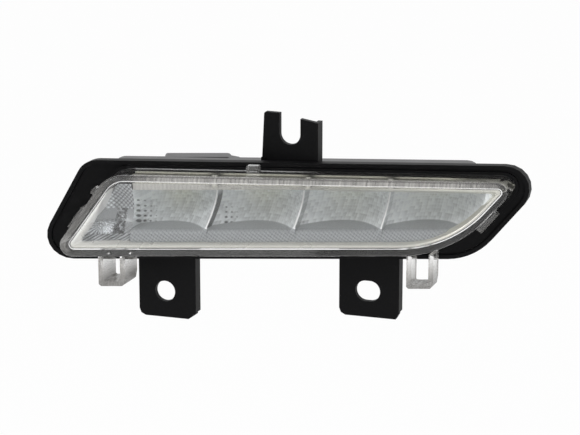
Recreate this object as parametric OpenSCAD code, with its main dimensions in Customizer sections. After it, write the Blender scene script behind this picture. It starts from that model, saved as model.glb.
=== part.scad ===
// Daytime running light of a car's bumper corner, with a swept face, a clear box lens,
// a black moulded housing with three fixing lugs, and a grey rear cover.
// Units are millimetres. X runs across the car, Y backwards into it and Z up.
// The origin is the centre of the round hole in the left lower lug, halfway through the lug.

/* [Face] */
// angle by which the lit face sweeps back towards its right end, in degrees
face_sweep = 19; // [18:0.5:20]
// height of the lens above the lamp's middle line at its left end
lens_rise_left = 17.6; // [17.2:0.1:18.2]
// height of the lens above the lamp's middle line at its right end
lens_rise_right = 14; // [13.7:0.1:14.6]
// depth of the lens below the lamp's middle line
lens_drop = 16.9; // [16.5:0.1:17.5]
// wall of the clear lens
lens_wall = 2.5; // [2.2:0.1:2.6]
// distance from the lens front back to the housing flange
lens_depth = 14; // [13.6:0.2:15]

/* [Housing] */
// width of the flange outside the lens, along the top and bottom
flange_border = 4; // [3.6:0.2:4.6]
// thickness of the flange
flange_t = 3; // [2.8:0.1:3.4]
// width of the raised rim along the flange edge
rim_w = 1.7; // [1.4:0.1:2]
// height of the raised rim in front of the flange
rim_h = 1.1; // [0.7:0.1:1.3]
// wall of the housing pan and of the rear cover
pan_wall = 2; // [1.8:0.1:2.2]
// distance from the lens front back to the rear of the rear cover
lamp_depth = 40; // [39.6:0.2:42]
// depth of the rear cover, without its box
cover_depth = 13.2; // [12.6:0.2:14]

/* [Lugs] */
// diameter of the round locating hole
hole_d = 9; // [8.5:0.1:9.4]
// length of the oval hole, along X
oval_len = 10.9; // [10.1:0.2:11.5]
// height of the fork slot's centre above the lamp's middle line
fork_rise = 30.6; // [30:0.2:31.4]
// width of the fork's open slot
fork_slot = 9.1; // [8.5:0.1:9.6]
// distance from the lamp's middle line down to the centres of the lug holes
lug_drop = 37.35; // [36.65:0.1:38.05]
// thickness of the lug plates
lug_t = 2.4; // [2.2:0.1:2.8]
// width of the left lower lug
lug_w = 25.8; // [25:0.2:26.4]
// depth of the side ribs of the lugs, from the plate front backwards
lug_rib = 5.4; // [4.6:0.2:6]
// distance from the round hole down to the lug's lower edge
lug_foot = 11.4; // [10.8:0.2:12.2]

/* [Reflector] */
// radius of the reflector's bowls
bowl_r = 19; // [18.8:0.1:19.4]
// wall of the reflector
reflector_wall = 2; // [1.6:0.1:2.2]

/* [Electrics] */
// thickness of the circuit boards
board_t = 1.6; // [1.4:0.1:1.6]
// edge length of one light-emitting diode
led_size = 3.5; // [3:0.1:4]
// width of the socket's mouth
socket_w = 12; // [11.4:0.2:12.6]
// height of the socket's mouth
socket_h = 7; // [6.8:0.1:7.4]
// depth of the socket behind the rear cover's box
socket_depth = 12; // [11:0.5:13]

/* [Hidden] */
$fn = 48;
eps = 0.05;
corner_steps = 7;

// where the round locating hole lies, seen from the middle of the lens front
hole_x = -56.85;
hole_y = 3.8;
hole_z = -lug_drop;
// step from the round hole to the oval one, and to the fork's slot
oval_x = hole_x + 81.2;
oval_y = hole_y + 27.9;
fork_x = -6.8;
fork_y = 20.9;

// corners of the lens front, anticlockwise from the lower left one, and their radii
lens_corners = [[66.4, -lens_drop], [94, lens_rise_right], [-75.2, lens_rise_left],
  [-99.9, -lens_drop]];
lens_radii = [46, 4.6, 11, 5];
flange_corners = [[77.3, -lens_drop - flange_border - 0.3], [111.8, lens_rise_right + flange_border + 0.4],
  [-84.8, lens_rise_left + flange_border - 0.3], [-108.1, -lens_drop - flange_border]];
flange_radii = [22, 10.4, 8, 10.4];

// depths behind the lens front
flange_back = lens_depth + flange_t;
channel_floor = flange_back - 0.8;
lens_foot = channel_floor - 0.4;
lip_front = lens_depth - 1.5;
gasket_t = 0.8;
cover_front = lamp_depth - cover_depth;
pan_back = cover_front - gasket_t;
box_back = lamp_depth + 7;

// insets from the lens outline
channel_out = -0.6;
channel_in = lens_wall + 0.6;
opening_in = channel_in + 1.5;
bezel_out = lens_wall + 0.5;
bezel_in = opening_in;
pan_corners = [[72, -16.5], [100, 15], [-77, 17.4], [-92, -16.5]];
pan_radii = [12, 4, 6, 5];
cover_corners = [[66, -15.5], [87, 15.1], [-74, 17.2], [-86, -15.5]];
cover_radii = [8, 6, 6, 6];

// heat spreader's upright leg, which stands off the cover's back wall on three bosses
leg_t = 1.5;
boss_h = 1.5;
leg_w = lamp_depth - pan_wall - boss_h - leg_t;

// reflector
bowl_w = leg_w - 1 - reflector_wall - bowl_r;
bowl_z = 10;
shelf_z = -6;
ridge_t = 1;
ridge_u = [-64.9, -29.7, 5.6, 40.7, 75.5];
small_r = 12;
small_w = lip_front - 1.5 - small_r;
small_u = -76;
small_z = -1;
fascia_z = 9.8;
plate_w = 6;
fascia_w = plate_w + 3;

// electrics
led_h = 0.9;
board_z = 10.1;
board_front = flange_back + 0.6;
board_rear = leg_w - 0.4;
pad_t = 0.4;
spreader_t = 1;
spreader_front = cover_front + 0.4;
pad_z = board_z + board_t;
spreader_z = pad_z + pad_t;
led_w = bowl_w + bowl_r - 5;
screw_u = [-20, 20, 55];
screw_z = -4;
screw_r = 1.1;
screw_l = leg_t + boss_h + pan_wall / 2;
box_u0 = -53.6;
box_u1 = -24.9;
box_z0 = -12;
box_z1 = 16.9;
driver_w = lamp_depth + 2;
link_u = [-47, -43];
socket_u = -40;
socket_z = 0;
pin_pitch = 3.5;
vent_u = 20;

// a point of the face, u along it and z up, at depth w, as seen along Y
function seen(u, z, w) = [u * cos(face_sweep) - w * sin(face_sweep), z];
function front(points) = [for (p = points) seen(p[0], p[1], 0)];
function unit(v) = v / norm(v);
function turn(v) = [-v[1], v[0]];
// corner i of an anticlockwise outline, moved in by d from both its edges
function moved(p, i, d) = let (
    n = len(p),
    a = unit(p[i] - p[(i + n - 1) % n]),
    b = unit(p[(i + 1) % n] - p[i]),
    k = d / (1 + a * b)
  ) p[i] + (turn(a) + turn(b)) * k;
function inset(p, d) = [for (i = [0:len(p) - 1]) moved(p, i, d)];
// the points of a rounded corner
function arc_points(a, p, b, r) = let (
    va = unit(a - p),
    vb = unit(b - p),
    half = acos(va * vb) / 2,
    c = p + unit(va + vb) * r / sin(half),
    s = p + va * r / tan(half) - c,
    e = p + vb * r / tan(half) - c,
    a0 = atan2(s[1], s[0]),
    swing = 180 - 2 * half
  ) [for (k = [0:corner_steps]) c + r * [cos(a0 + swing * k / corner_steps),
    sin(a0 + swing * k / corner_steps)]];
function rounded(p, r, d) = let (q = inset(p, d), n = len(p)) [for (i = [0:n - 1])
    each arc_points(q[(i + n - 1) % n], q[i], q[(i + 1) % n], max(r[i] - d, 0.8))];
lens_front = front(lens_corners);
// the same outline carried on upwards, for cuts that leave the top open
tall_front = [lens_front[0], lens_front[1] + (lens_front[1] - lens_front[0]) * 0.3,
  lens_front[2] + (lens_front[2] - lens_front[3]) * 0.3, lens_front[3]];
// height of the lens top at u and w
function lens_top(u, w) = lens_rise_left + (u - w * tan(face_sweep) - lens_corners[2][0])
  * (lens_rise_right - lens_rise_left) / (lens_corners[1][0] - lens_corners[2][0]);
flange_front = [for (p = flange_corners) seen(p[0], p[1], lens_depth)];

// moves the lamp so that the round hole's centre is the origin
module placed() {
  translate([-hole_x, -hole_y, -hole_z]) children();
}
// the lamp's own frame, swept back: u, w and z
module swept() {
  placed() rotate([0, 0, face_sweep]) children();
}
// an outline seen from the front, drawn along Y
module along_y(points) {
  translate([0, 120, 0]) rotate([90, 0, 0]) linear_extrude(height = 220) polygon(points);
}
// a slab of the lamp between two depths
module slab(w0, w1) {
  rotate([0, 0, face_sweep]) translate([-150, w0, -60]) cube([300, w1 - w0, 120]);
}
module lens_block(d, w0, w1) {
  intersection() {
    along_y(rounded(lens_front, lens_radii, d));
    slab(w0, w1);
  }
}
module lens_ring(d0, d1, w0, w1) {
  intersection() {
    difference() {
      along_y(rounded(lens_front, lens_radii, d0));
      along_y(rounded(lens_front, lens_radii, d1));
    }
    slab(w0, w1);
  }
}
// an outline in u and z, drawn back along w
module along_w(points, w0, w1) {
  translate([0, w1, 0]) rotate([90, 0, 0]) linear_extrude(height = w1 - w0) polygon(points);
}
module box(u0, u1, w0, w1, z0, z1) {
  translate([u0, w0, z0]) cube([u1 - u0, w1 - w0, z1 - z0]);
}

// one lower lug: a plate square to Y with ribs down both sides, its low right corner cut off
module lug(y, left, width, cut, top) {
  right = left + width;
  foot = hole_z - lug_foot;
  edge = [[left, top], [left, foot + 3], [left + 0.8, foot + 1], [left + 2.8, foot], [right - cut, foot],
    [right, foot + 2.4], [right, top]];
  translate([0, y + lug_t / 2, 0]) rotate([90, 0, 0]) linear_extrude(height = lug_t) polygon(edge);
  for (side = [left, right - 1.8]) {
    translate([side, y - lug_t / 2, foot + 3]) cube([1.8, lug_rib, top - foot - 3]);
  }
}

module fork(top) {
  left = fork_x - 12.6;
  right = fork_x + 12.5;
  edge = [[left, top], [right, top], [right, fork_rise + 5.3], [fork_x + 4, fork_rise + 6.7],
    [fork_x, fork_rise + 8.6], [left + 1.8, fork_rise + 8.8], [left + 1.2, fork_rise + 8.2]];
  translate([0, fork_y + lug_t / 2, 0]) rotate([90, 0, 0]) linear_extrude(height = lug_t) polygon(edge);
  translate([left, fork_y - lug_t / 2 - 0.6, top]) cube([1.8, lug_rib + 0.6, 20 - top]);
  translate([right - 1.8, fork_y - lug_t / 2 - 0.6, top]) cube([1.8, lug_rib + 0.6, fork_rise + 5.5 - top]);
}

module housing() color([0.05, 0.05, 0.055]) placed() {
  difference() {
    union() {
      intersection() {
        along_y(rounded(flange_front, flange_radii, 0));
        slab(lens_depth, flange_back);
      }
      intersection() {
        difference() {
          along_y(rounded(flange_front, flange_radii, 0));
          along_y(rounded(flange_front, flange_radii, rim_w));
        }
        slab(lens_depth - rim_h, lens_depth + eps);
      }
      lens_ring(channel_out - 1.2, channel_out, lens_depth - rim_h, lens_depth + eps);
      lens_ring(channel_in, opening_in, lip_front, lens_depth + eps);
      rotate([0, 0, face_sweep]) along_w(rounded(pan_corners, pan_radii, 0), flange_back - eps, pan_back);
      lug(hole_y, hole_x - 11.9, lug_w, 3.4, -15.6);
      lug(oval_y, oval_x - 12.7, lug_w + 0.7, 1.4, -15.6);
      fork(14.9);
    }
    lens_ring(channel_out, channel_in, lens_depth - 0.5, channel_floor);
    lens_block(opening_in, lip_front - 1, flange_back + eps);
    rotate([0, 0, face_sweep]) {
      along_w(rounded(pan_corners, pan_radii, pan_wall), flange_back, pan_back - pan_wall);
      along_w(rounded(cover_corners, cover_radii, pan_wall + 0.8), pan_back - pan_wall - eps, pan_back + 1);
      along_w(rounded(cover_corners, cover_radii, -0.4), pan_back, lamp_depth);
    }
    translate([hole_x, hole_y + 5, hole_z]) rotate([90, 0, 0]) cylinder(d = hole_d, h = 10);
    for (end = [-1, 1]) {
      translate([oval_x + end * (oval_len - hole_d) / 2, oval_y + 5, hole_z]) rotate([90, 0, 0])
        cylinder(d = hole_d, h = 10);
    }
    translate([oval_x - (oval_len - hole_d) / 2, oval_y - 5, hole_z - hole_d / 2])
      cube([oval_len - hole_d, 10, hole_d]);
    translate([fork_x, fork_y + 5, fork_rise]) rotate([90, 0, 0]) cylinder(d = fork_slot, h = 10);
    translate([fork_x - fork_slot / 2, fork_y - 5, fork_rise]) cube([fork_slot, 10, 20]);
  }
}

// the ring of one clear loop under the lens, open along Y
module clip(left, width, low, deep) {
  wall = 2;
  top = -lens_drop + 1;
  intersection() {
    difference() {
      along_y([[left + 0.5, low], [left + width - 1, low], [left + width, low + 4], [left + width, top],
        [left, top], [left, low + 0.5]]);
      along_y([[left + wall, low + wall], [left + width - wall, low + wall],
        [left + width - wall, -lens_drop], [left + wall, -lens_drop]]);
    }
    slab(0.6, deep);
  }
}

// a stub tab on edge i of the lens outline, at share t along it
module tab(i, t, length, proud) {
  p = lens_front[i];
  q = lens_front[(i + 1) % 4];
  along = unit(q - p);
  out = -turn(along);
  c = p + (q - p) * t;
  intersection() {
    along_y([c - along * length / 2 - out, c - along * length / 2 + out * proud,
      c + along * length / 2 + out * proud, c + along * length / 2 - out]);
    slab(lens_depth - 5, lens_depth - 1.6);
  }
}

module lens() color([0.9, 0.92, 0.94, 0.35]) placed() {
  union() {
    lens_block(0, 0, lens_wall);
    lens_ring(0, lens_wall, lens_wall - eps, lens_foot);
    clip(-75, 10.4, -29.4, lens_depth - 1.4);
    clip(45.2, 10.6, -30.6, 8);
    tab(2, 0.61, 10, 2.6);
    tab(2, 0.2, 3, 3);
    tab(0, 0.42, 10, 2.2);
    tab(1, 0.68, 4.2, 2.6);
  }
}

module lens_seal() color([0.12, 0.12, 0.12]) placed() {
  difference() {
    lens_ring(channel_out, channel_in, lens_foot - 1.2, channel_floor);
    lens_ring(0, lens_wall, lens_foot - 2, lens_foot);
  }
}

module bezel() color([0.86, 0.86, 0.83]) placed() {
  difference() {
    union() {
      lens_ring(bezel_out, bezel_in, lens_wall + 0.5, lip_front);
      lens_ring(bezel_in - eps, bezel_in + 1.2, lens_wall + 0.5, plate_w);
      intersection() {
        lens_block(bezel_out + eps, fascia_w, fascia_w + 1.5);
        translate([-150, -60, fascia_z]) cube([300, 120, 20]);
      }
      rotate([0, 0, face_sweep]) for (u = [-31, 7.5, 41.5]) {
        translate([u, fascia_w + 0.2, fascia_z + 1])
          cylinder(r = 1.2, h = lens_top(u, fascia_w) - bezel_out - 0.3 - fascia_z - 1);
      }
    }
    rotate([0, 0, face_sweep]) box(-66, 88, 0, plate_w + 0.5, fascia_z, 30);
    intersection() {
      lens_block(bezel_in - eps, 0, fascia_w);
      rotate([0, 0, face_sweep]) box(-66, 88, 0, fascia_w, fascia_z - 4, fascia_z + 0.1);
    }
  }
}

// what the reflector's bowls may fill at their right end, moved in by d, open at the top
module bowl_limit(d) {
  intersection() {
    along_y(rounded(tall_front, lens_radii, bezel_in + 0.3 + d));
    rotate([0, 0, face_sweep]) along_w(rounded(cover_corners, cover_radii, pan_wall + 1.1 + d), 0, 60);
  }
}

// one ball for each bowl, cut to the part between its two ridges, short of each ridge by the gap
module bowl_balls(r, gap, low, high) {
  rotate([0, 0, face_sweep]) for (i = [0:3]) {
    intersection() {
      translate([(ridge_u[i] + ridge_u[i + 1]) / 2, bowl_w, bowl_z]) sphere(r = r);
      box(ridge_u[i] + gap, ridge_u[i + 1] - gap, plate_w - 3, bowl_w + r + 1, low, high);
    }
  }
}

module reflector() color([0.7, 0.71, 0.72]) placed() {
  top = fascia_z - 0.2;
  difference() {
    union() {
      intersection() {
        lens_block(bezel_in, plate_w, plate_w + reflector_wall);
        translate([-150, -60, -30]) cube([300, 120, 30 + top]);
      }
      intersection() {
        bowl_balls(bowl_r + reflector_wall, -eps, shelf_z - reflector_wall, top);
        bowl_limit(0);
        slab(plate_w + 1, leg_w);
      }
      intersection() {
        rotate([0, 0, face_sweep]) translate([small_u, small_w, small_z]) sphere(r = small_r + 1.2);
        lens_block(bezel_in + 0.4, plate_w + 1, lip_front - 0.2);
      }
    }
    intersection() {
      bowl_balls(bowl_r, ridge_t / 2, shelf_z, top + 1);
      bowl_limit(reflector_wall);
    }
    rotate([0, 0, face_sweep]) translate([small_u, small_w, small_z]) sphere(r = small_r);
  }
}

module led_board() color([0.9, 0.9, 0.88]) swept() {
  box(-62, 73, board_front, board_rear, board_z, pad_z);
}

module led(i) {
  color([0.95, 0.9, 0.55]) swept() {
    translate([(ridge_u[i] + ridge_u[i + 1]) / 2, 0, 0])
      box(-led_size / 2, led_size / 2, led_w - led_size / 2, led_w + led_size / 2,
        board_z - led_h, board_z);
  }
}
module led_1() led(0);
module led_2() led(1);
module led_3() led(2);
module led_4() led(3);

module thermal_pad() color([0.45, 0.5, 0.55]) swept() {
  box(-58, 62, spreader_front, board_rear, pad_z, spreader_z);
}

module heat_spreader() color([0.75, 0.76, 0.78]) swept() {
  difference() {
    union() {
      box(-58, 62, spreader_front, leg_w + leg_t, spreader_z, spreader_z + spreader_t);
      box(-58, 62, leg_w, leg_w + leg_t, -11, spreader_z + eps);
    }
    box(link_u[0] - 1.5, link_u[1] + 2.5, leg_w - 1, leg_w + 3, board_z - 1.3, pad_z);
    for (u = screw_u) {
      translate([u, leg_w + screw_l, screw_z]) rotate([90, 0, 0]) cylinder(r = screw_r, h = screw_l * 2);
    }
  }
}

module spreader_screw(i) {
  color([0.6, 0.6, 0.62]) swept() {
    translate([screw_u[i], 0, screw_z]) rotate([-90, 0, 0]) {
      translate([0, 0, leg_w - 0.4]) cylinder(r = screw_r, h = screw_l + 0.4);
      difference() {
        translate([0, 0, leg_w - 1.5]) cylinder(r = 2.3, h = 1.5);
        translate([-0.3, -3, leg_w - 2]) cube([0.6, 6, 1]);
      }
    }
  }
}
module spreader_screw_1() spreader_screw(0);
module spreader_screw_2() spreader_screw(1);
module spreader_screw_3() spreader_screw(2);

box_corners = [[box_u1, box_z0], [box_u1, box_z1], [box_u0, box_z1], [box_u0, box_z0]];

module rear_cover() color([0.5, 0.5, 0.51]) swept() {
  inner = lamp_depth - pan_wall;
  difference() {
    union() {
      difference() {
        along_w(rounded(cover_corners, cover_radii, 0), cover_front, lamp_depth);
        along_w(rounded(cover_corners, cover_radii, pan_wall), cover_front - 1, inner);
      }
      along_w(rounded(box_corners, [2, 2, 1.2, 2], 0), lamp_depth - 1, box_back);
      along_w([[box_u1 - 1, 9], [box_u1 + 3.2, 14], [box_u1 + 3.2, 15.2], [box_u1 - 1, 16]],
        lamp_depth - 1, box_back);
      for (u = screw_u) {
        translate([u, inner + eps, screw_z]) rotate([90, 0, 0])
          cylinder(r = 3.2, h = inner + eps - leg_w - leg_t);
      }
      box(socket_u - socket_w / 2 - 1.5, socket_u + socket_w / 2 + 1.5, box_back - eps,
        box_back + socket_depth, socket_z - socket_h / 2 - 1.5, socket_z + socket_h / 2 + 1.5);
      translate([vent_u, lamp_depth + 2.5, screw_z]) rotate([90, 0, 0]) cylinder(r = 4, h = 3);
    }
    difference() {
      along_w(rounded(box_corners, [2, 2, 1.2, 2], pan_wall), inner - 1, box_back - pan_wall);
      for (z = [-8, 11]) {
        translate([socket_u, box_back, z]) rotate([90, 0, 0])
          cylinder(r = 1.8, h = box_back - driver_w - board_t);
      }
    }
    box(socket_u - socket_w / 2, socket_u + socket_w / 2, box_back, box_back + socket_depth + 1,
      socket_z - socket_h / 2, socket_z + socket_h / 2);
    for (i = [-1:1]) {
      box(socket_u + i * pin_pitch - 0.75, socket_u + i * pin_pitch + 0.75, box_back - pan_wall - 1,
        box_back + 1, socket_z - 0.4, socket_z + 0.4);
    }
    for (u = screw_u) {
      translate([u, leg_w + screw_l, screw_z]) rotate([90, 0, 0]) cylinder(r = screw_r, h = screw_l * 2);
    }
    translate([vent_u, lamp_depth + 5, screw_z]) rotate([90, 0, 0]) cylinder(r = 2.4, h = 12);
  }
}

module cover_gasket() color([0.1, 0.1, 0.1]) swept() {
  difference() {
    along_w(rounded(cover_corners, cover_radii, 0.2), pan_back, cover_front);
    along_w(rounded(cover_corners, cover_radii, pan_wall - 0.2), pan_back - 1, cover_front + 1);
  }
}

module driver_board() color([0.1, 0.35, 0.2]) swept() {
  difference() {
    box(box_u0 + 2.8, box_u1 - 2.8, driver_w, driver_w + board_t, -9.4, 12.6);
    for (i = [-1:1]) {
      box(socket_u + i * pin_pitch - 0.75, socket_u + i * pin_pitch + 0.75, driver_w - 1,
        driver_w + board_t + 1, socket_z - 0.4, socket_z + 0.4);
    }
  }
}

module terminal(i) {
  color([0.8, 0.7, 0.4]) swept() {
    box(socket_u + i * pin_pitch - 0.75, socket_u + i * pin_pitch + 0.75, driver_w - 0.5,
      box_back + 5, socket_z - 0.4, socket_z + 0.4);
  }
}
module terminal_1() terminal(-1);
module terminal_2() terminal(0);
module terminal_3() terminal(1);

module driver_chip() color([0.08, 0.08, 0.09]) swept() {
  difference() {
    box(-49, -43, driver_w - 1.2, driver_w, -8, -2);
    translate([-48, driver_w - 0.9, -7]) rotate([90, 0, 0]) cylinder(r = 0.4, h = 1);
  }
}

module inductor() color([0.2, 0.2, 0.21]) swept() {
  box(-40, -33, driver_w - 0.6, driver_w, -8.6, -1.6);
  translate([-36.5, driver_w - 0.6 + eps, -5.1]) rotate([90, 0, 0]) cylinder(r = 3.2, h = 2.4);
}

module capacitor(z) {
  color([0.62, 0.63, 0.66]) swept() {
    translate([-33.4, driver_w, z]) rotate([90, 0, 0]) cylinder(r = 1.6, h = 3.4);
    box(-35.2, -31.6, driver_w - 0.5, driver_w, z - 1.8, z + 1.8);
  }
}
module capacitor_1() capacitor(4);
module capacitor_2() capacitor(9);

module board_link() color([0.8, 0.7, 0.4]) swept() {
  for (u = link_u) {
    box(u, u + 1, board_rear, driver_w, board_z + 0.4, board_z + 1.2);
  }
}

module vent_membrane() color([0.92, 0.92, 0.9]) swept() {
  translate([vent_u, lamp_depth + 2.8, screw_z]) rotate([90, 0, 0]) cylinder(r = 3.8, h = 0.3);
}

module vent_cap() color([0.07, 0.07, 0.07]) swept() {
  difference() {
    translate([vent_u, lamp_depth + 4.8, screw_z]) rotate([90, 0, 0]) cylinder(r = 5.6, h = 4);
    translate([vent_u, lamp_depth + 3.6, screw_z]) rotate([90, 0, 0]) cylinder(r = 4, h = 4);
    box(vent_u - 7, vent_u + 7, lamp_depth + 2.9, lamp_depth + 3.6, screw_z - 1.2, screw_z + 1.2);
  }
}

housing();
lens();
lens_seal();
bezel();
reflector();
led_board();
led_1();
led_2();
led_3();
led_4();
thermal_pad();
heat_spreader();
spreader_screw_1();
spreader_screw_2();
spreader_screw_3();
rear_cover();
cover_gasket();
driver_board();
driver_chip();
inductor();
capacitor_1();
capacitor_2();
terminal_1();
terminal_2();
terminal_3();
board_link();
vent_cap();
vent_membrane();
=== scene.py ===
"""Looks of the daytime running light: clear box lens, bezel, faceted reflector and black housing."""

import math

import bmesh
import bpy
from mathutils import Matrix, Vector


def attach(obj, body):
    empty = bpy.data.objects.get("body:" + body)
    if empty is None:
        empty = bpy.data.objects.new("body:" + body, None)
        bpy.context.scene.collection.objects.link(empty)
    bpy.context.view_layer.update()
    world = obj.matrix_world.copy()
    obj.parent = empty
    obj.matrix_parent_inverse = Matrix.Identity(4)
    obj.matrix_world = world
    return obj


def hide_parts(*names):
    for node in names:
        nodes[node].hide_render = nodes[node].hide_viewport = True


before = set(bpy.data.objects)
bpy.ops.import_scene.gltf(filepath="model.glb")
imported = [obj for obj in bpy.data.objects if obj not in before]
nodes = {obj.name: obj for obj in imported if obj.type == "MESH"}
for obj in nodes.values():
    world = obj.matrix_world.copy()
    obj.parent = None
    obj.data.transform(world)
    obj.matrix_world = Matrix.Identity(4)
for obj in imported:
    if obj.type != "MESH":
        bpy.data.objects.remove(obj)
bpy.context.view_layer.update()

# Places. All lengths are millimetres, unless they are multiplied by MM.
MM = 0.001
SWEEP = math.radians(19)
COS, SIN = math.cos(SWEEP), math.sin(SWEEP)
# the round locating hole, seen from the middle of the lens front
HOLE = (-56.85, 3.8, -37.35)


def at(u, w, z):
    """A point of the lamp's swept frame, u along the face, w back from it and z up."""
    return Vector((u * COS - w * SIN - HOLE[0], u * SIN + w * COS - HOLE[1], z - HOLE[2])) * MM


def seen(x, w, z):
    """The point at depth w of the line that runs along Y at x, at height z."""
    return at((x + w * SIN) / COS, w, z)


def clamp(value):
    return min(1, max(0, value))


def fade(value, start, end):
    """0 up to start, 1 from end on, and evenly from one to the other between them."""
    return clamp((value - start) / (end - start))


# lens front: corners anticlockwise from the lower right one, and their radii
LENS = [(66.4 * COS, -16.9), (94.0 * COS, 14.0), (-75.2 * COS, 17.6), (-99.9 * COS, -16.9)]
LENS_R = [46.0, 4.6, 11.0, 5.0]
SMALLEST_R = 0.8
# depth of the lens foot, and the wall of the lens
LENS_FOOT, WALL = 15.8, 2.5


def unit(x, z):
    size = math.hypot(x, z)
    return x / size, z / size


def outline(inset=0.0, steps=14, between=9):
    """The lens front's outline moved in by inset, as points (x, z): rounded corners and straight sides."""
    count = len(LENS)
    moved = []
    for i in range(count):
        a = unit(LENS[i][0] - LENS[i - 1][0], LENS[i][1] - LENS[i - 1][1])
        b = unit(LENS[(i + 1) % count][0] - LENS[i][0], LENS[(i + 1) % count][1] - LENS[i][1])
        k = inset / (1 + a[0] * b[0] + a[1] * b[1])
        moved.append((LENS[i][0] - (a[1] + b[1]) * k, LENS[i][1] + (a[0] + b[0]) * k))
    arcs = []
    for i in range(count):
        p, r = moved[i], max(LENS_R[i] - inset, SMALLEST_R)
        va = unit(moved[i - 1][0] - p[0], moved[i - 1][1] - p[1])
        vb = unit(moved[(i + 1) % count][0] - p[0], moved[(i + 1) % count][1] - p[1])
        half = math.acos(va[0] * vb[0] + va[1] * vb[1]) / 2
        mid = unit(va[0] + vb[0], va[1] + vb[1])
        c = (p[0] + mid[0] * r / math.sin(half), p[1] + mid[1] * r / math.sin(half))
        start = (p[0] + va[0] * r / math.tan(half) - c[0], p[1] + va[1] * r / math.tan(half) - c[1])
        first = math.atan2(start[1], start[0])
        swing = math.pi - 2 * half
        turns = [first + swing * k / steps for k in range(steps + 1)]
        arcs.append([(c[0] + r * math.cos(t), c[1] + r * math.sin(t)) for t in turns])
    points = []
    for i in range(count):
        (xa, za), (xb, zb) = arcs[i][-1], arcs[(i + 1) % count][0]
        shares = [(k + 1) / (between + 1) for k in range(between)]
        points += arcs[i] + [(xa + (xb - xa) * s, za + (zb - za) * s) for s in shares]
    return points


def inside(x, z, ring):
    """Whether a point lies inside a closed outline."""
    hit = False
    for k in range(len(ring)):
        (xa, za), (xb, zb) = ring[k - 1], ring[k]
        if (za > z) != (zb > z) and x < (xb - xa) * (z - za) / (zb - za) + xa:
            hit = not hit
    return hit


def nearest_edge(x, z, ring):
    """Distance from a point to the outline, the outline's direction there and the length along it."""
    best = (math.inf, 0.0, 0.0, 0.0)
    run = 0.0
    for k in range(len(ring)):
        (xa, za), (xb, zb) = ring[k - 1], ring[k]
        span = math.hypot(xb - xa, zb - za)
        t = clamp(((x - xa) * (xb - xa) + (z - za) * (zb - za)) / span ** 2)
        away = math.hypot(x - xa - t * (xb - xa), z - za - t * (zb - za))
        if away < best[0]:
            best = (away, (xb - xa) / span, (zb - za) / span, run + t * span)
        run += span
    return best


# Mesh making
MERGE = 0.001 * MM


def mesh_object(name, points, faces, material, angle=0):
    """A new object, flat if angle is 0, else smooth but for edges sharper than angle in degrees."""
    mesh = bpy.data.meshes.new(name)
    mesh.from_pydata([tuple(p) for p in points], [], faces)
    mesh.validate()
    obj = bpy.data.objects.new(name, mesh)
    bpy.context.scene.collection.objects.link(obj)
    if material:
        mesh.materials.append(material)
    if angle:
        smooth(obj, angle)
    return obj


def smooth(obj, angle):
    """Shades obj smooth but for edges sharper than angle in degrees."""
    obj.data.shade_smooth()
    obj.data.set_sharp_from_angle(angle=math.radians(angle))


def loops_to_faces(count, rings, closed=True, ring_closed=False):
    """Faces that join rings of count points each, one ring to the next."""
    faces = []
    last = count if closed else count - 1
    for j in range(rings if ring_closed else rings - 1):
        a, b = j * count, ((j + 1) % rings) * count
        for i in range(last):
            k = (i + 1) % count
            faces.append((a + i, a + k, b + k, b + i))
    return faces


def fix_normals(obj):
    bm = bmesh.new()
    bm.from_mesh(obj.data)
    bmesh.ops.remove_doubles(bm, verts=bm.verts, dist=MERGE)
    bmesh.ops.recalc_face_normals(bm, faces=bm.faces)
    bm.to_mesh(obj.data)
    bm.free()


def prism(section, w0, w1):
    """Points and faces of a section (x, z) drawn along Y between two depths."""
    n = len(section)
    points = [seen(x, w0, z) for x, z in section] + [seen(x, w1, z) for x, z in section]
    faces = [tuple(range(n)), tuple(range(2 * n - 1, n - 1, -1))]
    faces += [(i, i + n, (i + 1) % n + n, (i + 1) % n) for i in range(n)]
    return points, faces


def apply_modifiers(obj):
    shown = obj.evaluated_get(bpy.context.evaluated_depsgraph_get())
    mesh = bpy.data.meshes.new_from_object(shown)
    obj.modifiers.clear()
    obj.data = mesh


def union(obj, parts):
    """Joins closed parts to obj by an exact boolean, and drops them."""
    for points, faces in parts:
        other = mesh_object("joined", points, faces, None)
        fix_normals(other)
        mod = obj.modifiers.new("join", "BOOLEAN")
        mod.operation, mod.solver, mod.object = "UNION", "EXACT", other
        apply_modifiers(obj)
        bpy.data.objects.remove(other)


def ease(obj, width):
    """Rounds the sharp edges of obj."""
    mod = obj.modifiers.new("ease", "BEVEL")
    mod.width = width * MM
    mod.segments = 2
    mod.limit_method = "ANGLE"
    mod.angle_limit = math.radians(40)


def paint(obj, name, shade):
    """Stores shade(x, w, z) at each point of obj, with x, w and z as in seen."""
    values = obj.data.attributes.new(name, "FLOAT_VECTOR", "POINT")
    for k, vertex in enumerate(obj.data.vertices):
        x, y, z = (vertex.co[j] / MM + HOLE[j] for j in range(3))
        values.data[k].vector = shade(x, COS * y - x * SIN, z)


def dress(obj, node):
    """Makes obj a visible piece of the part, in the place of a node."""
    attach(obj, "root")
    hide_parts(node)


# Material nodes
def node_of(tree, kind, **values):
    node = tree.nodes.new(kind)
    for key, value in values.items():
        setattr(node, key, value)
    return node


def noise_of(tree, place, scale, detail=2.0):
    """Output of a noise, at the place given."""
    node = node_of(tree, "ShaderNodeTexNoise")
    node.inputs["Scale"].default_value = scale
    node.inputs["Detail"].default_value = detail
    tree.links.new(place, node.inputs["Vector"])
    return node.outputs["Fac"]


def ramp_of(tree, source, low, high):
    """Colour that goes with source from low to high, each a position and a colour."""
    node = node_of(tree, "ShaderNodeValToRGB")
    for element, (position, color) in zip(node.color_ramp.elements, (low, high)):
        element.position, element.color = position, list(color) + [1]
    tree.links.new(source, node.inputs["Fac"])
    return node.outputs["Color"]


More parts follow.
